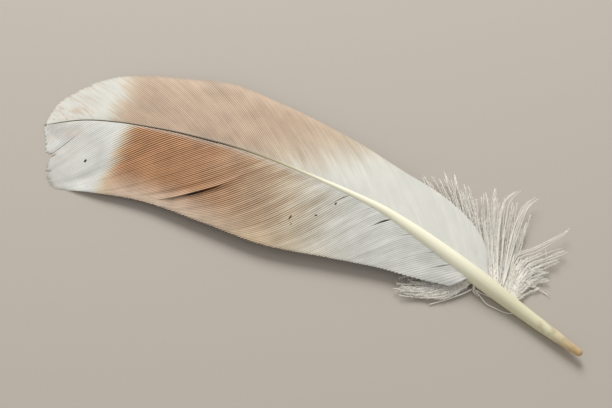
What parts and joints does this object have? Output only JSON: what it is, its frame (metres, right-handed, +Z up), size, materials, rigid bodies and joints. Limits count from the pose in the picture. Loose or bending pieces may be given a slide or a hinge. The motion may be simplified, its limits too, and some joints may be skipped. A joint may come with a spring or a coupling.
{
  "type": "goose quill feather",
  "caption": "Loose curved feather with a tapering hollow quill, a narrow and a broad vane banded white and tan, and tufts of down at its foot.",
  "frame": {"origin": "middle of the feather's box, on the surface it lies on", "axes": "+X along the feather from its tip towards the bare quill, +Y across it towards the narrow outer vane, +Z up"},
  "size_m": [0.1702, 0.055, 0.0076],
  "materials": {
    "quill": "smooth waxy keratin, cream, slightly see-through towards the bare end",
    "outer_vane": "close silky barbs, pale tan with a white tip and foot",
    "inner_vane": "fine ribbed barbs, warm tan with a white tip and foot",
    "down": "loose fluffy off-white barbs"
  },
  "bodies": {
    "root": {"quill_shaft": "quill", "outer_vane": "outer_vane", "inner_vane": "inner_vane", "down_outer": "down", "down_inner": "down"}
  },
  "joints": []
}
